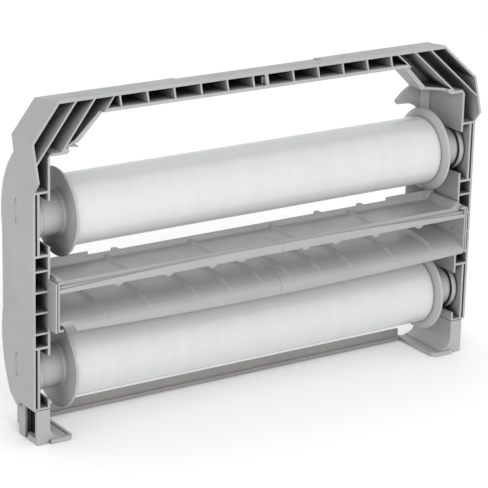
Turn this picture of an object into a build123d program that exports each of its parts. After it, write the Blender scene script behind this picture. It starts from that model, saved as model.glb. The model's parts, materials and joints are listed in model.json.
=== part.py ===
"""Twin-roll film cartridge: a carry-handled frame in two halves, two flanged film rolls that turn in T-slots in
its ends, and two ribbed shelves between the rolls that form the feed throat.

Millimetres, +Z up, +X to the right, -Y towards the side the rolls are loaded from. The origin is on the ground,
under the middle of the cartridge."""

import math
import os

from build123d import *

os.makedirs("parts", exist_ok=True)

# ---- driving dimensions -------------------------------------------------------------------------------------
HALF_WIDTH = 185.0            # outer face of an end wall
SKIN = 1.7                    # moulded wall thickness
NEAR_Y = -21.0                # near edge of the end walls
FAR = 60.0                    # half depth of a cutting prism, clear of every piece
ROLL_Y = 1.0                  # both roll axes
UPPER_Z = 157.7
LOWER_Z = 48.1

FILM_WIDTH = 305.0
FILM_R = 25.0
CORE_R = 15.2                 # outside of the core tube
CORE_BORE_R = 12.7
PLUG_LENGTH = 16.0            # how far an end cap reaches into the core
PLUG_BORE_R = 9.5
FLANGE_R = 31.0
FLANGE_OUTER_X = 156.7
FLANGE_INNER_R = 26.0         # flat part of the flange beside the film; outside it the flange is dished
NECK_ROOT_R = 15.2
NECK_R = 15.9
NECK_END_X = 174.7
SPIGOT_R = 12.0
RING_R = 18.4                 # collar that keeps the roll in its T-slot
RING_START_X = 175.0
RING_END_X = 179.0

INNER_SKIN_X = 172.1          # inboard face of the inner skin
RECESS_X = 180.0              # floor of a hub recess
RECESS_HALF = 21.3            # half height of a hub recess
COLLAR_CLEARANCE = 0.4
SEAT_CLEARANCE = 0.08         # running fit of a neck in its seat
BOSS_R = 11.0                 # boss that ties the recess floor to the outer skin
SCOOP_R = 14.2                # arc of the half-moon scoops in the outer faces
SCOOP_EDGE_Y = 2.2
SCOOP_DEPTH = 1.4
SCOOP_RISE = 4.0              # scoop centre above the roll axis
SLOT_FLOOR_X = 181.6

LEAN_Z = 188.6                # the near edges lean back above this height
LEAN_Y = -27.3
HANDLE_TOP_NEAR = (-11.8, 238.3)
HANDLE_TOP_FAR = (14.7, 234.7)
HANDLE_SEAM_X = 3.8
HANDLE_UNDERSIDE_Z = 226.8
HANDLE_FLOOR_T = 2.1
HANDLE_TOP_T = 2.2
HANDLE_RIBS_RIGHT = [26.0 + 21.3 * step for step in range(5)]
HANDLE_RIBS_LEFT = [7.5 + 21.3 * step for step in range(6)]
GRIP_DEPTH = 0.8              # shallow grip recess in the handle's top
GRIP_NEAR_Y = 2.0
GRIP_END_RIGHT = 62.0
GRIP_END_LEFT = 56.6
SHOULDER_Z = 213.8
CELL_RIB_T = 1.3
RIB_REF_Z = 237.5             # height at which the corner ribs' X positions are given
CORNER_RIBS_X = (146.3, 132.0)
CORNER_RIB_HALF = 0.8         # half width of a corner rib, along X
FLOOR_STEP_X = 130.5          # where the corner floor steps up, on a 45 degree line like the ribs
OPENING_RIB_X = 115.7         # corner rib that closes the grip opening
CORNER_FLOOR_Z = 206.0
OPENING_FOOT_Z = 208.0
WALL_RIBS_Z = (80.5, 95.3, 110.1, 124.9)

# hooks behind the roll's flange, as (x, z) outlines on the right-hand side; the two ends differ
RIGHT_HOOK = [(176.0, 204.0), (156.0, 204.0), (150.0, 203.2), (140.4, 200.6), (131.0, 195.9), (133.6, 193.0),
              (149.0, 190.3), (158.2, 186.2), (167.0, 179.0), (176.0, 179.0)]
LEFT_HOOK = [(176.0, 204.0), (150.0, 204.8), (141.0, 204.0), (137.3, 201.4), (134.2, 198.1), (150.0, 198.1),
             (167.0, 196.0), (176.0, 190.0)]

LATCH_WINDOW = (-9.5, -3.5, 230.4, 233.4)    # y and z range of the window in both seam plates
LATCH_HEAD = 1.1              # how far a latch head overlaps the window's edge

SHELF_SEAM_X = 8.6
SHELF_FRONT_Y = -32.0
SHELF_REAR_Y = 8.0
SHELF_END_X = 170.8
BRACKET_X = 172.0             # outboard face of an end bracket
BRACKET_Z = (83.7, 119.2)
LUG_X = 167.6                 # how far inboard a bracket's lugs reach
EAR_X = 172.6                 # inboard face of the ear that carries a bracket
THROAT_TOP_Z = 110.9
THROAT_BOTTOM_Z = 86.4
LIP_CROWN = 3.6               # extra lip height in mid-span
TRAY_GROOVE_Z = 115.3         # top of the tray between its front lip and its ridge
TRAY_FLOOR_Z = 116.2
TRAY_RIDGE_Z = 117.3
TRAY_RIM_Z = 120.0
TRAY_RIM_T = 1.5
TRAY_RIBS_X = [-113.2 + 68.4 * step for step in range(4)]
RIM_TABS_X = (-142.0, -104.5, 66.0, 104.0)
BUMPS_X = (-124.2, -84.5, -48.9, -24.9, 29.6, 56.2, 91.3, 130.3)
BUMP_R = 5.0
GUIDE_RIBS_X = (-134.2, -98.4, -60.4, -32.9, -6.0, 17.6, 43.8, 70.1, 108.7, 144.2)
GUIDE_RIB_RISE = 1.2
GUIDE_TOP = [(SHELF_FRONT_Y, THROAT_BOTTOM_Z), (-29.0, 89.4), (-23.0, 92.3), (-15.2, 94.3), (-6.5, 95.3),
             (SHELF_REAR_Y, 95.6)]
GUIDE_UNDER = [(-7.0, 93.4), (-15.6, 92.3), (-22.4, 90.4), (-28.0, 87.8), (-30.3, 86.0)]
CLEAT_HALF = 7.0
CLEAT_T = 1.6

FOOT_TOP_Z = 25.6
FOOT_OUTER_X = 182.4
FOOT_INNER_X = 172.3
FOOT_REAR_Y = 4.9
FOOT_OPENING_Y = (-18.4, -4.0)  # the foot's outer face is open between these
TOE_INNER_X = 155.0
TOE_T = 3.0
TOE_COVE_R = 9.0
TOE_GROOVE_X = (157.2, 163.4)
RAIL_NEAR_Y = 19.4
RAIL_FAR_Y = 23.0
RAIL_HEIGHT = 9.0


# ---- helpers ------------------------------------------------------------------------------------------------
def as_face(outline):
    """A face from a list of corner points or from a chain of edges."""
    if isinstance(outline, list):
        return make_face(Polyline(*outline, close=True))
    return make_face(outline)


def side_prism(outline, x_from, x_to):
    """A closed (y, z) outline extruded along X."""
    return extrude(Plane.YZ.offset(x_from) * as_face(outline), amount=x_to - x_from)


def front_prism(outline, y_from=-FAR, y_to=FAR):
    """A closed (x, z) outline extruded along Y."""
    return extrude(Plane.XZ.offset(-y_to) * as_face(outline), amount=y_to - y_from)


def plan_prism(outline, z_from, z_to):
    """A closed (x, y) outline extruded along Z."""
    return extrude(Plane.XY.offset(z_from) * as_face(outline), amount=z_to - z_from)


def block(x_from, x_to, y_from, y_to, z_from, z_to):
    size = Box(x_to - x_from, y_to - y_from, z_to - z_from)
    return Pos((x_from + x_to) / 2, (y_from + y_to) / 2, (z_from + z_to) / 2) * size


def disc(radius, x_from, x_to, y, z):
    """A cylinder along X."""
    rod = Cylinder(radius, x_to - x_from)
    return Pos((x_from + x_to) / 2, y, z) * (Rot(0, 90, 0) * rod)


def ring(outer, inner, x_from, x_to, y, z):
    return disc(outer, x_from, x_to, y, z) - disc(inner, x_from - 1, x_to + 1, y, z)


def strip(points, thickness):
    """The outline of an open polyline thickened to its left."""
    far = []
    for index, (a, b) in enumerate(points):
        before = points[max(index - 1, 0)]
        after = points[min(index + 1, len(points) - 1)]
        length = math.hypot(after[0] - before[0], after[1] - before[1])
        normal = (-(after[1] - before[1]) / length, (after[0] - before[0]) / length)
        far.append((a + normal[0] * thickness, b + normal[1] * thickness))
    return points + far[::-1]


def joined(shapes):
    total = shapes[0]
    for shape in shapes[1:]:
        total = total + shape
    return total


def mirrored(shape):
    return mirror(shape, about=Plane.YZ)


def save(shape, node):
    export_step(shape, f"parts/{node}.step")


def save_pair(shape, name):
    """Writes the right-hand piece and its mirror image."""
    save(shape, f"right_{name}")
    save(mirrored(shape), f"left_{name}")


# ---- end frame with half the handle -------------------------------------------------------------------------
def handle_top_z(y):
    """Height of the handle's sloping top."""
    (near_y, near_z), (far_y, far_z) = HANDLE_TOP_NEAR, HANDLE_TOP_FAR
    return near_z + (y - near_y) * (far_z - near_z) / (far_y - near_y)


def wall_outline(shift=0.0):
    """The end wall seen along X. A shift moves the rear and the top inwards and opens the near side."""
    near = NEAR_Y - FAR if shift else NEAR_Y
    lean_y = near if shift else LEAN_Y
    top_near_y = near if shift else HANDLE_TOP_NEAR[0]
    top_far_y = HANDLE_TOP_FAR[0] - shift
    drop = HANDLE_TOP_T if shift else 0.0
    top_near = (top_near_y, handle_top_z(top_near_y) - drop)
    top_far = (top_far_y, handle_top_z(top_far_y) - drop)
    rear = [(8.4, SHOULDER_Z), (5.7, 202.4), (18.9, 183.0), (22.6, 145.0), (22.3, 88.0), (21.6, 52.0), (12.5, 28.4)]
    rear = [(y - shift, z) for y, z in rear]
    toe = (1.5 - shift, 21.0 - shift)
    toe_root = (-0.7 - shift, FOOT_TOP_Z - shift)
    foot = (near, FOOT_TOP_Z - shift)
    outline = Polyline(foot, (near, 180.4), (lean_y, LEAN_Z), top_near, top_far, rear[0], rear[1])
    outline += ThreePointArc(rear[1], rear[2], rear[3])
    outline += Line(rear[3], rear[4])
    outline += ThreePointArc(rear[4], rear[5], rear[6])
    outline += Polyline(rear[6], toe, toe_root, foot)
    return outline


def diagonal_x(x_at_top, z):
    """X of a 45 degree corner rib at height z."""
    return x_at_top + (RIB_REF_Z - z)


def frame_band(seam_x):
    """One half of the frame seen along Y: outer edge, then the edge of the grip opening and inner skin."""
    corner_z = HANDLE_TOP_NEAR[1] + 4.0
    chamfer = corner_z - SHOULDER_Z
    return [
        (seam_x, corner_z),
        (HALF_WIDTH - chamfer, corner_z),
        (HALF_WIDTH, SHOULDER_Z),
        (HALF_WIDTH, 15.0),
        (INNER_SKIN_X, 15.0),
        (INNER_SKIN_X, CORNER_FLOOR_Z - SKIN),
        (diagonal_x(FLOOR_STEP_X, CORNER_FLOOR_Z) - SKIN, CORNER_FLOOR_Z - SKIN),
        (diagonal_x(FLOOR_STEP_X, OPENING_FOOT_Z) - 2 * SKIN, OPENING_FOOT_Z - SKIN),
        (diagonal_x(OPENING_RIB_X, OPENING_FOOT_Z) - SKIN, OPENING_FOOT_Z - SKIN),
        (diagonal_x(OPENING_RIB_X, HANDLE_UNDERSIDE_Z) - SKIN, HANDLE_UNDERSIDE_Z),
        (seam_x, HANDLE_UNDERSIDE_Z),
    ]


def handle_cells(seam_x, ribs):
    """Cells of the handle, seen along Y."""
    top = HANDLE_TOP_NEAR[1] + 1.0
    floor = HANDLE_UNDERSIDE_Z + HANDLE_FLOOR_T
    cells = []
    left = seam_x + CELL_RIB_T
    for rib in ribs:
        right = rib - CELL_RIB_T / 2
        cells.append([(left, floor), (right, floor), (right, top), (left, top)])
        left = rib + CELL_RIB_T / 2
    low_x = diagonal_x(OPENING_RIB_X, floor) + SKIN - CELL_RIB_T
    high_x = max(low_x - (top - floor), left + 0.4)
    cells.append([(left, floor), (low_x, floor), (high_x, top), (left, top)])
    return cells


def corner_cells():
    """Cells between the 45 degree ribs of the chamfered corner, seen along Y."""
    top = HANDLE_TOP_NEAR[1] + 1.0
    outer_rib, inner_rib = CORNER_RIBS_X
    inner_x = HALF_WIDTH - SKIN
    shoulder = SHOULDER_Z - 0.7
    outer_rib_foot = RIB_REF_Z + outer_rib - inner_x
    closed = [
        (diagonal_x(OPENING_RIB_X, top) + SKIN, top),
        (diagonal_x(inner_rib, top) - CORNER_RIB_HALF, top),
        (diagonal_x(inner_rib, OPENING_FOOT_Z) - CORNER_RIB_HALF, OPENING_FOOT_Z),
        (diagonal_x(OPENING_RIB_X, OPENING_FOOT_Z) + SKIN, OPENING_FOOT_Z),
    ]
    open_below = [
        (diagonal_x(inner_rib, top) + CORNER_RIB_HALF, top),
        (diagonal_x(outer_rib, top) - CORNER_RIB_HALF, top),
        (inner_x, outer_rib_foot - CORNER_RIB_HALF),
        (inner_x, UPPER_Z + RECESS_HALF + SKIN),
        (INNER_SKIN_X + SKIN, UPPER_Z + RECESS_HALF + SKIN),
        (INNER_SKIN_X + SKIN, CORNER_FLOOR_Z - 3.0),
        (INNER_SKIN_X - 1.0, CORNER_FLOOR_Z),
        (diagonal_x(inner_rib, CORNER_FLOOR_Z) + CORNER_RIB_HALF, CORNER_FLOOR_Z),
    ]
    outer = [
        (diagonal_x(outer_rib, top) + CORNER_RIB_HALF, top),
        (inner_x - (top - shoulder), top),
        (inner_x, shoulder),
        (inner_x, outer_rib_foot + CORNER_RIB_HALF),
    ]
    return [closed, open_below, outer]


def wall_cells():
    """Cells between the two skins of the end wall, seen along Y."""
    edges = [LOWER_Z + RECESS_HALF + SKIN]
    for z in WALL_RIBS_Z:
        edges += [z - CELL_RIB_T / 2, z + CELL_RIB_T / 2]
    edges.append(UPPER_Z - RECESS_HALF - SKIN)
    x_in = INNER_SKIN_X + SKIN
    x_out = HALF_WIDTH - SKIN
    return [[(x_in, low), (x_out, low), (x_out, high), (x_in, high)] for low, high in zip(edges[0::2], edges[1::2])]


def opening_setback():
    """Material taken off where the rib beside the grip opening stands back from the leaning near edges."""
    side = [(-FAR, HANDLE_UNDERSIDE_Z), (-9.7, HANDLE_UNDERSIDE_Z), (-8.0, 204.0), (-FAR, 204.0)]
    rib_x = OPENING_RIB_X + SKIN + 0.05
    front = [
        (100.0, HANDLE_UNDERSIDE_Z),
        (diagonal_x(rib_x, HANDLE_UNDERSIDE_Z), HANDLE_UNDERSIDE_Z),
        (diagonal_x(rib_x, OPENING_FOOT_Z), OPENING_FOOT_Z),
        (diagonal_x(rib_x, OPENING_FOOT_Z), 204.0),
        (100.0, 204.0),
    ]
    rib_front = side_prism(side, 0, HALF_WIDTH) & front_prism(front)
    floor_plan = [(140.0, -FAR), (140.0, -8.0), (147.0, -8.0), (158.0, -17.5), (158.0, -FAR)]
    floor_front = plan_prism(floor_plan, 203.5, OPENING_FOOT_Z)
    skin_front = block(INNER_SKIN_X - 1, INNER_SKIN_X + SKIN, -FAR, NEAR_Y, 180.0, CORNER_FLOOR_Z)
    return [rib_front, floor_front, skin_front]


def hub_slot(z):
    """T-slot for a roll's neck and collar, open on the near side, with a round seat at the roll axis."""
    seat_r = NECK_R + SEAT_CLEARANCE
    pocket_r = RING_R + COLLAR_CLEARANCE
    x_in = INNER_SKIN_X + SKIN
    neck_way = block(INNER_SKIN_X - 3, RECESS_X - 1, -FAR, ROLL_Y, z - seat_r, z + seat_r)
    neck_seat = disc(seat_r, INNER_SKIN_X - 3, RECESS_X - 1, ROLL_Y, z)
    recess = block(x_in, RECESS_X, -FAR, ROLL_Y, z - RECESS_HALF, z + RECESS_HALF)
    pocket = disc(pocket_r, x_in, RECESS_X, ROLL_Y, z)
    return neck_way + neck_seat + recess + pocket


def double_skin_gap(z):
    """Gap between a recess floor and the outer skin, bridged by a boss on the roll axis."""
    gap = block(RECESS_X + SKIN, HALF_WIDTH - SKIN, -FAR, FAR, z - RECESS_HALF, z + RECESS_HALF)
    inside = gap & side_prism(wall_outline(SKIN), 0, HALF_WIDTH)
    return inside - disc(BOSS_R, RECESS_X, HALF_WIDTH, ROLL_Y, z)


def finger_scoop(z):
    """Half-moon scoop in the outer face beside a roll axis, with a slot along its straight near edge."""
    ramp = [(HALF_WIDTH + 0.5, SCOOP_EDGE_Y), (HALF_WIDTH - SCOOP_DEPTH, SCOOP_EDGE_Y), (HALF_WIDTH + 0.5, 8.6)]
    arc_y = SCOOP_EDGE_Y + 4.1 - SCOOP_R
    scoop = plan_prism(ramp, z - 8.0, z + 16.0) & disc(SCOOP_R, 180.0, HALF_WIDTH + 1.0, arc_y, z + SCOOP_RISE)
    low_z, high_z = z - 0.7, z + 10.9
    slot = block(SLOT_FLOOR_X, HALF_WIDTH + 1.0, SCOOP_EDGE_Y, SCOOP_EDGE_Y + 1.5, low_z, high_z)
    return scoop + slot


def end_guard(hook):
    """Plate over the roll end, and the hook that curls inwards behind the flange."""
    outline = [(19.0, 181.0), (NEAR_Y, 181.0), (NEAR_Y, 200.4), (-17.0, 203.5), (19.0, 204.0)]
    plate = side_prism(outline, INNER_SKIN_X, INNER_SKIN_X + SKIN)
    curl_path = [(INNER_SKIN_X + 0.3, 8.0), (171.0, 17.5), (165.0, 20.4), (158.0, 17.4), (130.0, 5.4)]
    curl = plan_prism(strip(curl_path, -2.0), 170, 210)
    return plate + (curl & front_prism(hook))


def shelf_ear():
    """Forward extension of the inner skin that the shelf bracket is fixed to."""
    return block(EAR_X, INNER_SKIN_X + SKIN, SHELF_FRONT_Y + 0.2, NEAR_Y + 1.0, 83.3, 118.5)


def rear_flange():
    """Inward return of the end wall behind the shelves."""
    plate_x = INNER_SKIN_X + 0.5
    outline = [(plate_x, 76.0), (158.5, 76.0), (156.0, 108.0), (156.0, 126.0), (163.0, 131.0), (163.0, 150.0),
               (plate_x, 150.0)]
    return front_prism(outline, 20.2, 21.9)


def grip_recess(seam_x, grip_end):
    """Shallow recess in the rear part of the handle's top."""
    far_y = HANDLE_TOP_FAR[0] + 1.0
    outline = [
        (GRIP_NEAR_Y, handle_top_z(GRIP_NEAR_Y) + 2.0),
        (GRIP_NEAR_Y, handle_top_z(GRIP_NEAR_Y) - GRIP_DEPTH),
        (far_y, handle_top_z(far_y) - GRIP_DEPTH),
        (far_y, handle_top_z(far_y) + 2.0),
    ]
    return side_prism(outline, seam_x - 1.0, grip_end)


def end_frame(seam_x, handle_ribs, grip_end, hook):
    """Right-hand end wall with its part of the handle, which starts at the seam."""
    solid = side_prism(wall_outline(), seam_x, HALF_WIDTH) & front_prism(frame_band(seam_x))
    outlines = handle_cells(seam_x, handle_ribs) + corner_cells() + wall_cells()
    cells = joined([front_prism(outline) for outline in outlines])
    solid -= cells & side_prism(wall_outline(SKIN), seam_x, HALF_WIDTH)
    for cut in opening_setback():
        solid -= cut
    solid -= grip_recess(seam_x, grip_end)
    y_from, y_to, z_from, z_to = LATCH_WINDOW
    solid -= block(seam_x - 1, seam_x + CELL_RIB_T + 1, y_from, y_to, z_from, z_to)
    for z in (UPPER_Z, LOWER_Z):
        solid -= double_skin_gap(z)
    solid = joined([solid, end_guard(hook), shelf_ear(), rear_flange()])
    for z in (UPPER_Z, LOWER_Z):
        solid -= hub_slot(z)
        solid -= finger_scoop(z)
    foot_socket = block(INNER_SKIN_X - 3, HALF_WIDTH - SKIN, -FAR, FAR, 10.0, LOWER_Z - RECESS_HALF - SKIN)
    return solid - foot_socket


def handle_latch():
    """Snap clip through the windows in the two seam plates, with a head on each side."""
    y_from, y_to, z_from, z_to = LATCH_WINDOW
    reach = CELL_RIB_T + 0.1
    shank = block(HANDLE_SEAM_X - reach, HANDLE_SEAM_X + reach, y_from + 0.1, y_to - 0.1, z_from + 0.1, z_to - 0.1)
    heads = []
    for side in (-1, 1):
        x_near = HANDLE_SEAM_X + side * reach
        x_far = x_near + side * 1.2
        low_x, high_x = sorted((x_near, x_far))
        heads.append(block(low_x, high_x, y_from - LATCH_HEAD, y_to + LATCH_HEAD, z_from - LATCH_HEAD, z_to + 0.8))
    return joined([shank] + heads)


# ---- feet and rear rail -------------------------------------------------------------------------------------
def foot():
    """Hollow upright under the end wall with a toe plate that reaches inwards."""
    top = LOWER_Z - RECESS_HALF - SKIN
    upright = block(FOOT_INNER_X, FOOT_OUTER_X, NEAR_Y, FOOT_REAR_Y, 0, top)
    upright -= block(
        FOOT_INNER_X + SKIN, FOOT_OUTER_X - SKIN, NEAR_Y + SKIN, FOOT_REAR_Y - SKIN, -1, top - SKIN
    )
    open_near_y, open_rear_y = FOOT_OPENING_Y
    opening = block(FOOT_OUTER_X - SKIN - 1, FOOT_OUTER_X + 1, open_near_y, open_rear_y, -1, top - SKIN)
    sill = block(FOOT_INNER_X + 0.5, FOOT_OUTER_X, open_near_y - 0.5, -8.0, 0, 4.0)
    toe_root_x = FOOT_INNER_X + 0.5
    toe = plan_prism(
        [
            (toe_root_x, NEAR_Y - 2.5),
            (TOE_INNER_X + 3.2, NEAR_Y - 2.5),
            (TOE_INNER_X, NEAR_Y + 0.7),
            (TOE_INNER_X, RAIL_FAR_Y),
            (toe_root_x, RAIL_FAR_Y),
        ],
        0,
        TOE_T,
    )
    groove_in, groove_out = TOE_GROOVE_X
    groove = plan_prism(
        [
            (groove_out, NEAR_Y),
            (groove_in + 2.0, NEAR_Y),
            (groove_in, NEAR_Y + 2.0),
            (groove_in, RAIL_FAR_Y + 1),
            (groove_out, RAIL_FAR_Y + 1),
        ],
        TOE_T - 0.9,
        TOE_T + 1,
    )
    cove_x = FOOT_INNER_X - TOE_COVE_R
    cove = block(cove_x, toe_root_x, NEAR_Y, RAIL_FAR_Y, TOE_T - 1.0, TOE_T + TOE_COVE_R)
    cove -= Pos(cove_x, 0, TOE_T + TOE_COVE_R) * (Rot(90, 0, 0) * Cylinder(TOE_COVE_R, 2 * FAR))
    rear_web = block(FOOT_INNER_X, FOOT_INNER_X + SKIN, FOOT_REAR_Y - 1, RAIL_FAR_Y, 0, 18.0)
    return joined([upright - opening, sill, toe - groove, cove, rear_web])


def rear_bottom_rail():
    """Angle strip along the bottom behind the lower roll, joining the toes of the two feet."""
    end_x = TOE_INNER_X - 0.05
    base = block(-end_x, end_x, RAIL_NEAR_Y, RAIL_FAR_Y, 0, TOE_T)
    upright = block(-end_x, end_x, RAIL_FAR_Y - SKIN, RAIL_FAR_Y, 0, RAIL_HEIGHT)
    return base + upright


# ---- shelves between the rolls ------------------------------------------------------------------------------
def crowned_lip(x_from, x_to, straight_z, end_height, sign):
    """Front lip seen along Y: one straight long edge and one crowned edge, above (sign 1) or below (sign -1)."""
    end_z = straight_z + sign * end_height
    mid_z = end_z + sign * LIP_CROWN
    outline = ThreePointArc((-SHELF_END_X, end_z), (0, mid_z), (SHELF_END_X, end_z))
    outline += Polyline(
        (SHELF_END_X, end_z), (SHELF_END_X, straight_z), (-SHELF_END_X, straight_z), (-SHELF_END_X, end_z)
    )
    lip = front_prism(outline, SHELF_FRONT_Y, SHELF_FRONT_Y + SKIN)
    return lip & block(x_from, x_to, -FAR, FAR, 0, 2 * THROAT_TOP_Z)


def tray_rib(x):
    """Low rounded cross rib that fans out where it meets the front ridge."""
    low_z = TRAY_FLOOR_Z - 0.5
    section = ThreePointArc((x - 2.2, low_z), (x, TRAY_FLOOR_Z + 1.3), (x + 2.2, low_z))
    section += Line((x + 2.2, low_z), (x - 2.2, low_z))
    rib = front_prism(section, -25.0, SHELF_REAR_Y - 1.0)
    fan_plan = [(x - 1.6, -19.0), (x - 5.5, -25.0), (x + 7.5, -25.0), (x + 1.6, -19.0)]
    return rib + plan_prism(fan_plan, low_z, TRAY_FLOOR_Z + 0.7)


def rim_tab(x):
    """Small ramped tab on the tray's rear rim."""
    low_z = TRAY_RIM_Z - 1.0
    high_z = TRAY_RIM_Z + 1.9
    outline = [(x - 3.8, low_z), (x - 3.8, high_z), (x - 1.0, high_z), (x + 3.8, low_z)]
    return front_prism(outline, SHELF_REAR_Y - TRAY_RIM_T, SHELF_REAR_Y)


def lip_bump(x):
    """Rounded knob that hangs under the tray's lip into the throat."""
    centre_z = THROAT_TOP_Z + 2.5
    knob = Pos(x, SHELF_FRONT_Y + 2.6, centre_z) * (Rot(90, 0, 0) * Cylinder(BUMP_R, 2.4))
    return knob & block(x - BUMP_R, x + BUMP_R, -FAR, FAR, centre_z - BUMP_R, centre_z)


def within(stations, x_from, x_to):
    return [x for x in stations if x_from < x < x_to]


def tray_half(x_from, x_to):
    """Shallow pan under the upper roll between two X stations."""
    low_z = TRAY_FLOOR_Z - 1.0
    under_z = TRAY_GROOVE_Z - SKIN
    groove = block(x_from, x_to, SHELF_FRONT_Y, -25.0, under_z, TRAY_GROOVE_Z)
    floor = block(x_from, x_to, -25.0, SHELF_REAR_Y, under_z, TRAY_FLOOR_Z)
    ridge_outline = [(-26.2, under_z + 1.0), (-25.3, TRAY_RIDGE_Z), (-24.3, TRAY_RIDGE_Z), (-23.2, under_z + 1.0)]
    ridge = side_prism(ridge_outline, x_from, x_to)
    rim_y = SHELF_REAR_Y - TRAY_RIM_T
    rim = side_prism(
        [
            (rim_y - 2.2, low_z),
            (rim_y - 0.4, TRAY_FLOOR_Z + 1.4),
            (rim_y, TRAY_RIM_Z),
            (SHELF_REAR_Y, TRAY_RIM_Z),
            (SHELF_REAR_Y, under_z),
        ],
        x_from,
        x_to,
    )
    skirt = block(x_from, x_to, SHELF_FRONT_Y, SHELF_FRONT_Y + SKIN, THROAT_TOP_Z, TRAY_GROOVE_Z)
    pieces = [groove, floor, ridge, rim, skirt, crowned_lip(x_from, x_to, THROAT_TOP_Z + 0.01, 2.8, 1)]
    pieces += [tray_rib(x) for x in within(TRAY_RIBS_X, x_from, x_to)]
    pieces += [rim_tab(x) for x in within(RIM_TABS_X, x_from, x_to)]
    pieces += [lip_bump(x) for x in within(BUMPS_X, x_from, x_to)]
    return joined(pieces)


def tray_end():
    """Stepped rear rim and sloping end wall at the right-hand end of the tray."""
    low_z = TRAY_FLOOR_Z - 1.0
    step = block(127.5, SHELF_END_X, SHELF_REAR_Y - TRAY_RIM_T, SHELF_REAR_Y, low_z, TRAY_RIM_Z + 2.5)
    slope = [(162.6, TRAY_FLOOR_Z), (168.6, 120.8), (SHELF_END_X, 120.8), (SHELF_END_X, low_z), (162.6, low_z)]
    return step + front_prism(slope, -27.0, SHELF_REAR_Y - 0.5)


def guide_section(rise):
    """Curved guide seen along X: its top surface, lifted by rise, and its underside."""
    top = [(y, z + rise) for y, z in GUIDE_TOP]
    rear_top = top[-1]
    rear_under = (SHELF_REAR_Y, GUIDE_TOP[-1][1] - SKIN - 0.2)
    outline = Spline(*top)
    outline += Line(rear_top, rear_under)
    outline += Spline(rear_under, *GUIDE_UNDER)
    outline += Polyline(GUIDE_UNDER[-1], (SHELF_FRONT_Y, GUIDE_UNDER[-1][1]), top[0])
    return outline


def guide_rib(x):
    """Raised rib on the guide, wide at the rear and tapering to its front tip."""
    taper = [(x - 2.6, SHELF_REAR_Y - 1.0), (x - 2.2, -14.0), (x - 0.5, -31.0), (x + 0.5, -31.0), (x + 2.2, -14.0),
             (x + 2.6, SHELF_REAR_Y - 1.0)]
    return side_prism(guide_section(GUIDE_RIB_RISE), x - 3.0, x + 3.0) & plan_prism(taper, 80.0, 100.0)


def guide_half(x_from, x_to):
    """Convex guide over the lower roll between two X stations."""
    pieces = [side_prism(guide_section(0.0), x_from, x_to), crowned_lip(x_from, x_to, THROAT_BOTTOM_Z, 3.4, -1)]
    pieces += [guide_rib(x) for x in within(GUIDE_RIBS_X, x_from, x_to)]
    outer_x = -SHELF_END_X - 1
    notch = front_prism(
        [(outer_x, 70.0), (-157.0, 70.0), (-157.0, 83.4), (-161.0, 91.0), (outer_x, 91.0)], SHELF_FRONT_Y - 1, -29.3
    )
    return joined(pieces) - notch


def shelf_bracket():
    """Plate that carries the ends of both shelves, with a small window and a lug at its near top corner."""
    plate = block(SHELF_END_X, BRACKET_X, SHELF_FRONT_Y, SHELF_REAR_Y, *BRACKET_Z)
    high_z = BRACKET_Z[1]
    plate += block(LUG_X, BRACKET_X, SHELF_FRONT_Y, SHELF_FRONT_Y + SKIN, high_z - 1.4, high_z)
    window = side_prism([(-30.0, 98.2), (-30.0, 109.2), (-16.0, 98.2)], SHELF_END_X - 1, SHELF_END_X + 0.6)
    return plate - window


def left_shelf_bracket():
    """Mirror image of the right bracket, with a second lug in the notch of the guide's lip."""
    low_z = BRACKET_Z[0]
    lug = block(LUG_X, BRACKET_X, SHELF_FRONT_Y, SHELF_FRONT_Y + SKIN, low_z, low_z + 1.4)
    return mirrored(shelf_bracket() + lug)


def tray_cleat():
    """Flat strip under the tray that bridges the seam between its halves."""
    top = TRAY_GROOVE_Z - SKIN
    return block(SHELF_SEAM_X - CLEAT_HALF, SHELF_SEAM_X + CLEAT_HALF, -22.0, 4.0, top - CLEAT_T, top)


def guide_cleat():
    """Flat strip under the guide's rear part that bridges the seam between its halves."""
    top = 93.0
    return block(SHELF_SEAM_X - CLEAT_HALF, SHELF_SEAM_X + CLEAT_HALF, -8.0, 7.0, top - CLEAT_T, top)


# ---- rolls --------------------------------------------------------------------------------------------------
def end_cap(z):
    """Flanged gudgeon: plug in the core, dished flange beside the film, neck that turns in the end wall's seat."""
    film_end = FILM_WIDTH / 2
    profile = [
        (film_end - PLUG_LENGTH, 0.0),
        (film_end - PLUG_LENGTH, CORE_BORE_R - 0.5),
        (film_end - PLUG_LENGTH + 0.5, CORE_BORE_R),
        (film_end, CORE_BORE_R),
        (film_end, FLANGE_INNER_R),
        (film_end + 2.3, FLANGE_R - 0.4),
        (film_end + 2.7, FLANGE_R),
        (FLANGE_OUTER_X - 0.4, FLANGE_R),
        (FLANGE_OUTER_X, FLANGE_R - 0.4),
        (FLANGE_OUTER_X, NECK_ROOT_R),
        (NECK_END_X - 4.0, NECK_R),
        (NECK_END_X, NECK_R),
        (NECK_END_X, SPIGOT_R),
        (RING_END_X, SPIGOT_R),
        (RING_END_X, 0.0),
    ]
    body = revolve(make_face(Polyline(*profile, close=True)), axis=Axis.X)
    bore = disc(PLUG_BORE_R, film_end - PLUG_LENGTH - 1, RING_END_X - 3.0, 0, 0)
    return Pos(0, ROLL_Y, z) * (body - bore)


def collar(z):
    """Collar on the outer end of a gudgeon, with a groove in its inboard face."""
    body = ring(RING_R, SPIGOT_R, RING_START_X, RING_END_X, ROLL_Y, z)
    return body - ring(RING_R - 1.4, SPIGOT_R + 2.0, RING_START_X - 1, RING_START_X + 1.2, ROLL_Y, z)


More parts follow.
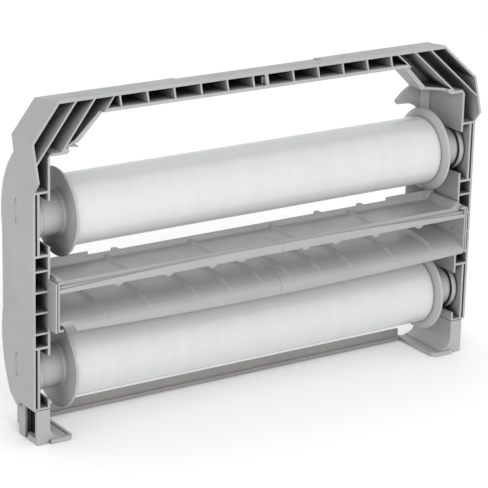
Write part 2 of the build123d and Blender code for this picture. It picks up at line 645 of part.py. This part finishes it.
def save_roll(name, z):
    half = FILM_WIDTH / 2
    save(ring(FILM_R, CORE_R, -half, half, ROLL_Y, z), f"{name}_film_roll")
    save(ring(CORE_R, CORE_BORE_R, -half, half, ROLL_Y, z), f"{name}_core_tube")
    for side, place in (("right", lambda shape: shape), ("left", mirrored)):
        save(place(end_cap(z)), f"{name}_{side}_end_cap")
        save(place(collar(z)), f"{name}_{side}_collar")


def main():
    right_frame = end_frame(HANDLE_SEAM_X, HANDLE_RIBS_RIGHT, GRIP_END_RIGHT, RIGHT_HOOK)
    left_frame = end_frame(-HANDLE_SEAM_X, HANDLE_RIBS_LEFT, GRIP_END_LEFT, LEFT_HOOK)
    save(right_frame, "right_end_frame")
    save(mirrored(left_frame), "left_end_frame")
    save(handle_latch(), "handle_latch")
    save_pair(foot(), "foot")
    save(shelf_bracket(), "right_shelf_bracket")
    save(left_shelf_bracket(), "left_shelf_bracket")
    save(rear_bottom_rail(), "rear_bottom_rail")
    save(tray_half(SHELF_SEAM_X, SHELF_END_X) + tray_end(), "upper_tray_right")
    save(tray_half(-SHELF_END_X, SHELF_SEAM_X) + mirrored(tray_end()), "upper_tray_left")
    save(tray_cleat(), "tray_seam_cleat")
    save(guide_half(SHELF_SEAM_X, SHELF_END_X), "lower_guide_right")
    save(guide_half(-SHELF_END_X, SHELF_SEAM_X), "lower_guide_left")
    save(guide_cleat(), "guide_seam_cleat")
    save_roll("upper", UPPER_Z)
    save_roll("lower", LOWER_Z)


main()
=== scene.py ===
"""Looks of the twin-roll film cartridge.

Moulded plastic on the CAD nodes, finely lofted shelves, turned roll ends and wound film. The lofted and turned
pieces are in millimetres until make_piece() turns them into metres; camera, lights and shaders are in metres.
"""

import json
import math

import bpy
from mathutils import Matrix, Vector, noise


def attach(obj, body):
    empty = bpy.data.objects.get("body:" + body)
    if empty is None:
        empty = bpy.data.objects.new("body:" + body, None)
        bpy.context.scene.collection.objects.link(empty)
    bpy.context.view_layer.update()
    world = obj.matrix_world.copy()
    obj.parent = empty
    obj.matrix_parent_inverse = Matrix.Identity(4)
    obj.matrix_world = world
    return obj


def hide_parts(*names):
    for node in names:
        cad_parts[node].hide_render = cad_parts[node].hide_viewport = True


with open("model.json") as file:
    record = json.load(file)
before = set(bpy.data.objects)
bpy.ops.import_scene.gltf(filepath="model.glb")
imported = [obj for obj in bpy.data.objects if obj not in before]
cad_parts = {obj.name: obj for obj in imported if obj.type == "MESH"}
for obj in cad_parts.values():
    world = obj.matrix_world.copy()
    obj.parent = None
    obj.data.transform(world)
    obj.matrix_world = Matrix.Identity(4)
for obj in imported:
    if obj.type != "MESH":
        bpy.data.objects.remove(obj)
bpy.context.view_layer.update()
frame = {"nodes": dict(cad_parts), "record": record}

MM = 0.001

# ---- camera --------------------------------------------------------------------------------------
AZIMUTH = math.radians(33.73)
ELEVATION = math.radians(18.55)
ROLL = math.radians(1.45)
DISTANCE = 1.71849
TARGET = Vector((-0.01718, -0.021, 0.11796))
LENS = 180.7


def make_camera():
    across = math.cos(ELEVATION)
    back = Vector((-math.sin(AZIMUTH) * across, -math.cos(AZIMUTH) * across, math.sin(ELEVATION)))
    level_right = (-back).cross(Vector((0, 0, 1))).normalized()
    level_up = level_right.cross(-back)
    right = math.cos(ROLL) * level_right + math.sin(ROLL) * level_up
    up = -math.sin(ROLL) * level_right + math.cos(ROLL) * level_up
    data = bpy.data.cameras.new("camera")
    data.lens = LENS
    data.sensor_width = 36.0
    camera = bpy.data.objects.new("camera", data)
    bpy.context.scene.collection.objects.link(camera)
    turn = Matrix((right, up, back)).transposed().to_4x4()
    camera.matrix_world = Matrix.Translation(TARGET + back * DISTANCE) @ turn
    bpy.context.scene.camera = camera


make_camera()


# ---- materials -----------------------------------------------------------------------------------
# EDGE_RADIUS is the reach of the painted edge highlight; HOLLOW_REACH is the reach of the painted shade in
# hollows.
EDGE_RADIUS = 0.00035
HOLLOW_REACH = 0.02


class Nodes:
    """Short ways to make and link shader nodes."""

    def __init__(self, name):
        self.material = bpy.data.materials.new(name)
        self.material.use_nodes = True
        self.tree = self.material.node_tree
        self.shader = self.tree.nodes["Principled BSDF"]
        self.coords = self.add("ShaderNodeTexCoord").outputs["Object"]

    def add(self, kind, **settings):
        node = self.tree.nodes.new(kind)
        for key, value in settings.items():
            setattr(node, key, value)
        return node

    def link(self, source, target):
        self.tree.links.new(source, target)

    def scaled(self, scale):
        mapping = self.add("ShaderNodeMapping")
        mapping.inputs["Scale"].default_value = scale
        self.link(self.coords, mapping.inputs["Vector"])
        return mapping.outputs["Vector"]

    def noise(self, scale, detail=3.0, stretch=(1, 1, 1), distortion=0.0):
        texture = self.add("ShaderNodeTexNoise")
        texture.inputs["Scale"].default_value = scale
        texture.inputs["Detail"].default_value = detail
        texture.inputs["Distortion"].default_value = distortion
        self.link(self.scaled(stretch), texture.inputs["Vector"])
        return texture.outputs["Fac"]

    def ranged(self, value, to_min, to_max, from_min=0.3, from_max=0.7):
        node = self.add("ShaderNodeMapRange")
        node.inputs["From Min"].default_value = from_min
        node.inputs["From Max"].default_value = from_max
        node.inputs["To Min"].default_value = to_min
        node.inputs["To Max"].default_value = to_max
        self.link(value, node.inputs["Value"])
        return node.outputs["Result"]

    def mixed(self, factor, first, second, blend="MIX"):
        """Mixes two colours; each is a colour or an output socket."""
        node = self.add("ShaderNodeMix", data_type="RGBA", blend_type=blend)
        for socket, value in ((node.inputs[0], factor), (node.inputs[6], first), (node.inputs[7], second)):
            if isinstance(value, bpy.types.NodeSocket):
                self.link(value, socket)
            else:
                socket.default_value = value
        return node.outputs[2]

    def bump(self, height, strength, distance, below=None):
        node = self.add("ShaderNodeBump")
        node.inputs["Strength"].default_value = strength
        node.inputs["Distance"].default_value = distance
        self.link(height, node.inputs["Height"])
        if below is not None:
            self.link(below, node.inputs["Normal"])
        return node.outputs["Normal"]

    def edges(self, radius):
        """1 on convex and concave edges, 0 on flats; the mask of the painted edge highlight."""
        bevel = self.add("ShaderNodeBevel", samples=4)
        bevel.inputs["Radius"].default_value = radius
        flat = self.add("ShaderNodeNewGeometry").outputs["Normal"]
        dot = self.add("ShaderNodeVectorMath", operation="DOT_PRODUCT")
        self.link(bevel.outputs["Normal"], dot.inputs[0])
        self.link(flat, dot.inputs[1])
        return self.ranged(dot.outputs["Value"], 1.0, 0.0, 0.75, 0.99)

    def cavity(self, distance):
        """Ambient occlusion for the painted shade: 1 in the open, towards 0 deep in a hollow."""
        node = self.add("ShaderNodeAmbientOcclusion", samples=8)
        node.inputs["Distance"].default_value = distance
        return node.outputs["AO"]


def grey(level, warm=0.0):
    return (level * (1 + warm), level, level * (1 - warm), 1.0)


def moulded_plastic(name, level, warm=0.0, roughness=0.42, hollow=(0.1, 0.5)):
    """Satin moulded plastic: slight flow mottling, fine texture, a painted highlight on its edges and painted
    shade deep in hollows.

    level is the base grey; hollow is the span of openness over which the painted shade in a hollow turns from
    dark to full colour.
    """
    n = Nodes(name)
    mottle = n.ranged(n.noise(18.0, 4.0), 0.0, 1.0)
    mottled = n.mixed(mottle, grey(level * 0.93, warm), grey(level * 1.05, warm))
    streak = n.ranged(n.noise(9.0, 2.0, (1.0, 1.0, 6.0)), 0.0, 0.35)
    streaked = n.mixed(streak, mottled, grey(level * 1.10, warm - 0.01))
    # painted highlight: edges are lightened towards a pale grey
    edge_highlight = n.ranged(n.edges(EDGE_RADIUS), 0.0, 0.5, 0.0, 1.0)
    edge_lit = n.mixed(edge_highlight, streaked, grey(min(level * 1.75, 0.9), warm))
    # painted shade: hollows are darkened towards near black by ambient occlusion
    open_air = n.ranged(n.cavity(HOLLOW_REACH), 0.0, 1.0, *hollow)
    shade = n.mixed(open_air, grey(level * 0.03, warm - 0.02), edge_lit)
    n.link(shade, n.shader.inputs["Base Color"])
    n.link(n.ranged(n.noise(60.0, 4.0), roughness - 0.06, roughness + 0.08), n.shader.inputs["Roughness"])
    waves = n.bump(n.noise(35.0, 2.0), 0.12, 0.0006)
    n.link(n.bump(n.noise(2600.0, 2.0), 0.25, 0.00006, waves), n.shader.inputs["Normal"])
    n.shader.inputs["Specular IOR Level"].default_value = 0.45
    return n.material


def wound_film(name):
    """Clear film wound tight: white and glossy, with faint bands round the roll and fine streaks along it."""
    n = Nodes(name)
    bands = n.noise(1.0, 5.0, (140.0, 3.0, 3.0))
    patches = n.noise(9.0, 1.0, (0.5, 1.4, 1.4))
    tone = n.mixed(n.ranged(bands, 0.0, 1.0), (0.50, 0.51, 0.515, 1), (0.53, 0.54, 0.54, 1))
    tone = n.mixed(n.ranged(patches, 0.0, 0.3), tone, (0.57, 0.575, 0.57, 1))
    n.link(tone, n.shader.inputs["Base Color"])
    n.link(n.ranged(patches, 0.26, 0.31), n.shader.inputs["Roughness"])
    fine = n.bump(n.noise(1.0, 4.0, (900.0, 25.0, 25.0)), 0.04, 0.00005)
    n.link(n.bump(n.noise(1.0, 3.0, (14.0, 90.0, 90.0)), 0.05, 0.0002, fine), n.shader.inputs["Normal"])
    n.shader.inputs["Specular IOR Level"].default_value = 0.55
    n.shader.inputs["Coat Weight"].default_value = 0.5
    n.shader.inputs["Coat Roughness"].default_value = 0.22
    return n.material


def tube_board(name):
    """Plain wound core tube."""
    n = Nodes(name)
    fibres = n.noise(1.0, 5.0, (30.0, 400.0, 400.0))
    board = n.mixed(n.ranged(fibres, 0.0, 1.0), (0.50, 0.45, 0.38, 1), (0.62, 0.57, 0.50, 1))
    n.link(board, n.shader.inputs["Base Color"])
    n.link(n.ranged(fibres, 0.7, 0.9), n.shader.inputs["Roughness"])
    n.link(n.bump(fibres, 0.3, 0.0002), n.shader.inputs["Normal"])
    return n.material


BY_SLOT = {
    "frame_plastic": moulded_plastic("frame_plastic", 0.325, -0.012),
    "shelf_plastic": moulded_plastic("shelf_plastic", 0.315, 0.004, roughness=0.34, hollow=(0.12, 0.5)),
    "hub_plastic": moulded_plastic("hub_plastic", 0.36, -0.015, roughness=0.34, hollow=(0.15, 0.8)),
    "rail_plastic": moulded_plastic("rail_plastic", 0.23, 0.03, roughness=0.34, hollow=(0.0, 0.3)),
    "latch_plastic": moulded_plastic("latch_plastic", 0.30, 0.0),
    "film": wound_film("film"),
    "core_tube": tube_board("core_tube"),
}


# ---- CAD nodes: materials and softened edges -----------------------------------------------------
WELD_GAP = 0.00001
EDGE_BREAK = 0.0002


def dress_cad_nodes():
    """Gives every CAD node its slot's material and breaks its sharp edges."""
    slots = {row["node"]: row["material_slot"] for row in frame["record"]["subparts"]}
    for node, piece in frame["nodes"].items():
        piece.data.materials.clear()
        piece.data.materials.append(BY_SLOT[slots[node]])
        weld = piece.modifiers.new("weld", "WELD")
        weld.merge_threshold = WELD_GAP
        bevel = piece.modifiers.new("bevel", "BEVEL")
        bevel.width = EDGE_BREAK
        bevel.segments = 2
        bevel.limit_method = "ANGLE"
        bevel.angle_limit = math.radians(40)
        bevel.use_clamp_overlap = True
        bevel.miter_outer = "MITER_ARC"


dress_cad_nodes()


# ---- mesh helpers --------------------------------------------------------------------------------
def make_piece(name, verts, faces, body, slot, replaced=()):
    mesh = bpy.data.meshes.new(name)
    mesh.from_pydata([(x * MM, y * MM, z * MM) for x, y, z in verts], [], faces)
    mesh.validate()
    piece = bpy.data.objects.new(name, mesh)
    bpy.context.scene.collection.objects.link(piece)
    mesh.materials.append(BY_SLOT[slot])
    mesh.shade_smooth()
    mesh.set_sharp_from_angle(angle=math.radians(38))
    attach(piece, body)
    if replaced:
        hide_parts(*replaced)
    return piece


def loft(sections, closed_path=False):
    """Joins equal loops of points into one closed skin, capped at both ends unless the path is closed."""
    count = len(sections[0])
    verts = [point for section in sections for point in section]
    faces = []
    last = len(sections) if closed_path else len(sections) - 1
    for i in range(last):
        a, b = i * count, ((i + 1) % len(sections)) * count
        for j in range(count):
            k = (j + 1) % count
            faces.append((a + j, a + k, b + k, b + j))
    if not closed_path:
        faces.append(tuple(reversed(range(count))))
        faces.append(tuple(range(last * count, last * count + count)))
    return verts, faces


def rounded(points, radius, steps=3):
    """A closed outline with each corner rounded; a corner may carry its own radius as a third value."""
    outline = []
    count = len(points)
    for i, point in enumerate(points):
        here = Vector(point[:2])
        r = point[2] if len(point) > 2 else radius
        before = Vector(points[i - 1][:2]) - here
        after = Vector(points[(i + 1) % count][:2]) - here
        reach = min(r, before.length * 0.45, after.length * 0.45)
        start = here + before.normalized() * reach
        end = here + after.normalized() * reach
        for step in range(steps + 1):
            t = step / steps
            outline.append(tuple((1 - t) ** 2 * start + 2 * t * (1 - t) * here + t**2 * end))
    return outline


def turned(profile, y, z, segments=144):
    """Sections of a body turned about an axis along X, from its closed (x, r) profile."""
    sections = []
    for i in range(segments):
        angle = 2 * math.pi * i / segments
        sections.append([(x, y + r * math.cos(angle), z + r * math.sin(angle)) for x, r in profile])
    return sections


def bump_at(x, centre, half_width):
    """A smooth 0-1-0 hill."""
    t = abs(x - centre) / half_width
    return 0.0 if t >= 1 else 0.5 + 0.5 * math.cos(math.pi * t)


def ease(t):
    t = min(max(t, 0.0), 1.0)
    return t * t * (3 - 2 * t)


# ---- rolls ---------------------------------------------------------------------------------------
ROLL_Y = 1.0
ROLLS = {"upper": 157.7, "lower": 48.1}
FILM_HALF = 152.5
FILM_R = 25.0
CORE_R = 15.25
FLANGE_R = 31.0


def film_roll(name, z, seed):
    """Wound film as a spiral sleeve: it ends in one thin step, and its surface waves a little."""
    segments = 180
    xs = [-FILM_HALF + 0.05, -FILM_HALF + 0.35]
    xs += [-FILM_HALF + 1.5 + 303.0 * i / 150 for i in range(151)]
    xs += [FILM_HALF - 0.35, FILM_HALF - 0.05]
    sections = []
    for i in range(segments):
        angle = 2 * math.pi * i / segments + 1.9
        wound = 0.14 * i / segments
        loop = []
        for x in xs:
            edge = 0.35 * (1 - ease((FILM_HALF - abs(x)) / 0.8))
            band = 0.05 * (noise.noise(Vector((x * 0.03, seed, 0.3))) - 0.4)
            spot = Vector((x * 0.02, 2.2 * math.cos(angle), seed + 2.2 * math.sin(angle)))
            ripple = 0.05 * noise.noise(spot)
            r = FILM_R - 0.08 - wound - edge + band + ripple
            loop.append((x, ROLL_Y + r * math.cos(angle), z + r * math.sin(angle)))
        for x in (FILM_HALF - 0.05, -FILM_HALF + 0.05):
            loop.append((x, ROLL_Y + CORE_R * math.cos(angle), z + CORE_R * math.sin(angle)))
        sections.append(loop)
    verts, faces = loft(sections, closed_path=True)
    make_piece(f"{name}_wound_film", verts, faces, f"{name}_roll", "film", [f"{name}_film_roll"])


def end_cap(name, side, z):
    """Turned gudgeon with a dished flange, a shallow ring groove and rounded rims."""
    sign = 1 if side == "right" else -1
    corners = [
        (136.5, 9.5, 0.3),
        (136.5, 12.3, 0.4),
        (137.2, 12.7, 0.3),
        (152.5, 12.7, 0.1),
        (152.5, 26.0, 1.5),
        (154.7, 30.6, 0.8),
        (155.4, FLANGE_R, 0.5),
        (156.3, FLANGE_R, 0.4),
        (156.7, 30.6, 0.4),
        (156.55, 28.8, 0.2),
        (156.4, 17.0, 0.8),
        (157.2, 15.25, 0.8),
        (170.7, 15.85, 0.8),
        (174.2, 15.9, 0.3),
        (174.7, 15.4, 0.3),
        (174.7, 12.0, 0.1),
        (178.7, 12.0, 0.3),
        (179.0, 11.6, 0.3),
        (179.0, 0.01, 0.0),
        (176.0, 0.01, 0.0),
        (176.0, 9.5, 0.3),
    ]
    profile = [(sign * x, max(r, 0.01)) for x, r in rounded(corners, 0.3)]
    verts, faces = loft(turned(profile, ROLL_Y, z), closed_path=True)
    replaced = [f"{name}_{side}_end_cap"]
    make_piece(f"{name}_{side}_gudgeon", verts, faces, f"{name}_roll", "hub_plastic", replaced)


def collar(name, side, z):
    """Turned collar with a groove in its inboard face and softly rounded rims."""
    sign = 1 if side == "right" else -1
    corners = [
        (175.0, 12.0, 0.1),
        (175.0, 14.0, 0.2),
        (176.1, 14.2, 0.3),
        (176.1, 16.9, 0.3),
        (175.0, 17.1, 0.3),
        (175.0, 18.0, 0.4),
        (175.5, 18.4, 0.4),
        (178.4, 18.4, 0.5),
        (179.0, 17.8, 0.5),
        (179.0, 12.0, 0.1),
    ]
    profile = [(sign * x, r) for x, r in rounded(corners, 0.3)]
    verts, faces = loft(turned(profile, ROLL_Y, z), closed_path=True)
    replaced = [f"{name}_{side}_collar"]
    make_piece(f"{name}_{side}_ring", verts, faces, f"{name}_roll", "hub_plastic", replaced)


for roll_name, roll_z in ROLLS.items():
    film_roll(roll_name, roll_z, 1.7 if roll_name == "upper" else 5.1)
    for roll_side in ("left", "right"):
        end_cap(roll_name, roll_side, roll_z)
        collar(roll_name, roll_side, roll_z)


# ---- shelves -------------------------------------------------------------------------------------
SHELF_END = 170.8
SEAM_X = 8.6
SEAM_GAP = 0.12
FRONT_Y = -32.0
REAR_Y = 8.0
SKIN = 1.7
THROAT_TOP = 110.9
THROAT_BOTTOM = 86.4
TRAY_LIP = 2.8
TRAY_GROOVE = 115.3
TRAY_FLOOR = 116.2
TRAY_RIDGE = 117.3
TRAY_RIBS = [-113.2 + 68.4 * i for i in range(4)]
RIM_TABS = (-142.0, -104.5, 66.0, 104.0)
KNOB_R = 5.0
KNOB_XS = (-124.2, -84.5, -48.9, -24.9, 29.6, 56.2, 91.3, 130.3)
GUIDE_RIBS = (-134.2, -98.4, -60.4, -32.9, -6.0, 17.6, 43.8, 70.1, 108.7, 144.2)
GUIDE_TOP = [(-32.0, THROAT_BOTTOM), (-29.0, 89.4), (-23.0, 92.3), (-15.2, 94.3), (-6.5, 95.3), (8.0, 95.6)]
FLOOR_YS = [-23.4 + 27.8 * i / 26 for i in range(27)]
GUIDE_YS = [-31.7, -31.2, -30.5] + [-29.6 + 37.0 * i / 34 for i in range(35)]


def stations(x_from, x_to, features, coarse=4.0, fine=0.45, reach=7.0):
    """X stations with close spacing near each feature."""
    xs = [x_from]
    while xs[-1] < x_to - 1e-6:
        near = min((abs(xs[-1] - f) for f in features), default=1e9)
        step = fine if near < reach else min(coarse, max(fine, near - reach + fine))
        xs.append(min(xs[-1] + step, x_to))
    return xs


def lip_crown(x):
    """Crown of a lip's curved edge, 0 at the shelf's ends and 3.6 in mid-span."""
    sagitta, half = 3.6, SHELF_END
    radius = (half * half + sagitta * sagitta) / (2 * sagitta)
    return sagitta - radius + math.sqrt(radius * radius - x * x)


def tray_rib_height(x, y):
    """Rounded cross ribs: narrow at the rear, fanning out where they run into the front ridge."""
    nearest = min(TRAY_RIBS, key=lambda r: abs(x - r))
    front = ease((-y - 14.5) / 9.0)
    rear = ease((y - 2.5) / 4.0)
    half = 3.3 + 4.6 * front**2
    offset = x - nearest - 1.4 * front**2
    return (1.7 + 0.9 * rear) * bump_at(offset, 0.0, half) * (1 - 0.45 * front)


def rim_height(x):
    """Top of the tray's rear rim, with its ramped tabs and its stepped ends."""
    height = 120.0
    for tab in RIM_TABS:
        along = x - (tab - 3.8)
        if 0 <= along <= 7.6:
            height = max(height, 120.0 + 1.9 * (1 - ease((along - 2.6) / 5.0)))
    return max(height, 122.5) if abs(x) > 127.5 else height


def tray_section(x):
    """Closed (y, z) loop of the tray at one station."""
    crown = THROAT_TOP + TRAY_LIP + lip_crown(x)
    end_rise = 4.6 * ease((abs(x) - 162.6) / 6.0)
    under = TRAY_GROOVE - SKIN
    loop = [(FRONT_Y, THROAT_TOP + 0.3), (FRONT_Y, crown - 0.5), (FRONT_Y + 0.15, crown - 0.15)]
    loop += [(FRONT_Y + 0.5, crown), (FRONT_Y + 1.2, crown), (FRONT_Y + 1.55, crown - 0.15)]
    loop += [(FRONT_Y + 1.7, crown - 0.5), (-30.2, TRAY_GROOVE + 0.15), (-29.9, TRAY_GROOVE - 0.05)]
    loop += [(-27.4, TRAY_GROOVE - 0.05), (-26.9, TRAY_GROOVE + 0.1 + 0.9 * end_rise)]
    crest = TRAY_RIDGE + 0.75 * end_rise
    foot_z = TRAY_GROOVE + 0.5 + 0.9 * end_rise
    loop += [(-26.3, foot_z), (-25.7, 0.35 * foot_z + 0.65 * crest), (-25.2, crest - 0.1), (-24.8, crest)]
    loop += [(-24.4, crest - 0.1), (-23.9, crest - 0.5)]
    for y in FLOOR_YS:
        loop.append((y, TRAY_FLOOR + tray_rib_height(x, y) + end_rise))
    base = TRAY_FLOOR + end_rise
    top = max(rim_height(x), base + 0.3)
    lift = tray_rib_height(x, 5.0)
    for y, part in ((4.9, 0.06), (5.5, 0.2), (6.0, 0.45), (6.3, 0.75), (6.45, 0.93)):
        loop.append((y, max(base + part * (top - base), min(base + lift, top))))
    loop += [(6.75, top), (7.65, top), (8.0, top - 0.35), (8.0, under + 0.4), (7.6, under)]
    loop += [(-29.5, under), (-30.15, under - 0.5), (-30.3, THROAT_TOP + 0.3), (-30.6, THROAT_TOP)]
    loop += [(-31.7, THROAT_TOP)]
    return loop


def shelf_piece(name, section, xs, nodes):
    sections = [[(x, y, z) for y, z in section(x)] for x in xs]
    verts, faces = loft(sections)
    faces = [tuple(reversed(f)) for f in faces]
    return make_piece(name, verts, faces, "frame", "shelf_plastic", nodes)


def guide_height(y):
    """Height of the guide's top surface, by Catmull-Rom through its measured points."""
    pts = [(-35.0, 82.6)] + GUIDE_TOP + [(16.0, 95.6)]
    for i in range(1, len(pts) - 2):
        (y0, z0), (y1, z1), (y2, z2), (y3, z3) = pts[i - 1 : i + 3]
        if y <= y2 or i == len(pts) - 3:
            t = (y - y1) / (y2 - y1)
            m1 = (z2 - z0) / (y2 - y0) * (y2 - y1)
            m2 = (z3 - z1) / (y3 - y1) * (y2 - y1)
            a = 2 * t**3 - 3 * t**2 + 1
            b = t**3 - 2 * t**2 + t
            return a * z1 + b * m1 + (1 - a) * z2 + (t**3 - t**2) * m2


def guide_section_at(x):
    """Closed (y, z) loop of the guide at one station; its lip is cut back beside the left end."""
    bottom = THROAT_BOTTOM - 3.4 - lip_crown(x)
    cut = ease((-157.0 - x) / 4.0)
    bottom += (88.2 - bottom) * cut
    front = FRONT_Y + 2.7 * cut
    loop = [(front, bottom + 0.3), (front, max(THROAT_BOTTOM - 0.35, bottom + 0.6))]
    for y in GUIDE_YS:
        y = max(y, front + 0.25 + 0.001 * y)
        along = (y - FRONT_Y) / (REAR_Y - FRONT_Y)
        half = 0.75 + 2.5 * ease(along * 1.7)
        rise = 1.9 * ease(along * 9)
        nearest = min(GUIDE_RIBS, key=lambda r: abs(x - r))
        lean = 0.35 * half
        offset = x - nearest
        side = half + lean if offset < 0 else half - lean
        loop.append((y, guide_height(y) + rise * bump_at(offset, 0.0, side) ** 0.8))
    loop += [(7.7, guide_height(7.7)), (8.0, 95.2), (8.0, 94.0), (7.6, 93.7)]
    for y in [7.0 - 35.0 * i / 14 for i in range(15)]:
        loop.append((y, guide_height(y) - SKIN - 0.1))
    back = max(-30.3, front + 0.5)
    loop += [(max(-29.6, back + 0.3), guide_height(-29.6) - 2.0), (back, min(85.9 + 3 * cut, 88.4))]
    loop += [(back, bottom + 0.3), (max(-30.6, front + 0.4), bottom), (front + 0.3, bottom)]
    return loop


tray_marks = list(TRAY_RIBS) + list(RIM_TABS) + [-127.5, 127.5, -165.5, 165.5]
shelf_piece(
    "tray_left_half",
    tray_section,
    stations(-SHELF_END, SEAM_X - SEAM_GAP, tray_marks, reach=8.5),
    ["upper_tray_left"],
)
shelf_piece(
    "tray_right_half",
    tray_section,
    stations(SEAM_X + SEAM_GAP, SHELF_END, tray_marks, reach=8.5),
    ["upper_tray_right"],
)
guide_marks = list(GUIDE_RIBS)
notch_marks = guide_marks + [-159.0]
shelf_piece(
    "guide_left_half",
    guide_section_at,
    stations(-SHELF_END, SEAM_X - SEAM_GAP, notch_marks, fine=0.3, reach=4.0),
    ["lower_guide_left"],
)
shelf_piece(
    "guide_right_half",
    guide_section_at,
    stations(SEAM_X + SEAM_GAP, SHELF_END, guide_marks, fine=0.3, reach=4.0),
    ["lower_guide_right"],
)


def lip_knob(index, x):
    """Rounded knob that hangs from the tray's lip."""
    sections = []
    y_from, y_to = FRONT_Y + 1.2, FRONT_Y + 3.8
    near_face = [(y_from, 0.6), (y_from + 0.3, 0.15), (y_from + 0.7, 0.0)]
    far_face = [(y_to - 0.7, 0.0), (y_to - 0.2, 0.3), (y_to, 0.9)]
    for y, shrink in near_face + far_face:
        r = KNOB_R - shrink
        loop = []
        for step in range(25):
            angle = math.pi + math.pi * step / 24
            loop.append((x + r * math.cos(angle), y, THROAT_TOP + 2.5 + r * math.sin(angle)))
        sections.append(loop)
    verts, faces = loft(sections)
    make_piece(f"lip_knob_{index}", verts, faces, "frame", "shelf_plastic")


for knob_index, knob_x in enumerate(KNOB_XS, start=1):
    lip_knob(knob_index, knob_x)


# ---- floor, light --------------------------------------------------------------------------------
FLOOR_HALF = 12.0
FLOOR_GAP = 0.0002


def pale_floor():
    n = Nodes("pale_floor")
    tone = n.mixed(n.ranged(n.noise(3.0), 0.0, 1.0), grey(0.955), grey(0.97))
    n.link(tone, n.shader.inputs["Base Color"])
    n.shader.inputs["Roughness"].default_value = 0.9
    n.shader.inputs["Specular IOR Level"].default_value = 0.1
    mesh = bpy.data.meshes.new("floor")
    half = FLOOR_HALF
    corners = [(-half, -half, 0), (half, -half, 0), (half, half, 0), (-half, half, 0)]
    mesh.from_pydata(corners, [], [(0, 1, 2, 3)])
    mesh.materials.append(n.material)
    floor = bpy.data.objects.new("floor", mesh)
    floor.location.z = -FLOOR_GAP
    bpy.context.scene.collection.objects.link(floor)


def area_light(name, position, target, size, power):
    data = bpy.data.lights.new(name, "AREA")
    data.shape = "RECTANGLE"
    data.size, data.size_y = size
    data.energy = power
    light = bpy.data.objects.new(name, data)
    light.location = position
    light.rotation_mode = "QUATERNION"
    light.rotation_quaternion = (Vector(target) - Vector(position)).to_track_quat("-Z", "Y")
    bpy.context.scene.collection.objects.link(light)


pale_floor()
world = bpy.data.worlds.new("studio")
world.use_nodes = True
world.node_tree.nodes["Background"].inputs["Color"].default_value = (1.0, 1.0, 1.0, 1.0)
world.node_tree.nodes["Background"].inputs["Strength"].default_value = 1.0
bpy.context.scene.world = world
area_light("key", (-0.75, -2.1, 1.0), (0, 0, 0.12), (2.6, 0.35), 24.0)
area_light("low_fill", (-0.4, -2.2, 0.25), (0, 0, 0.06), (2.4, 0.3), 5.0)
bpy.context.scene.view_settings.view_transform = "Standard"
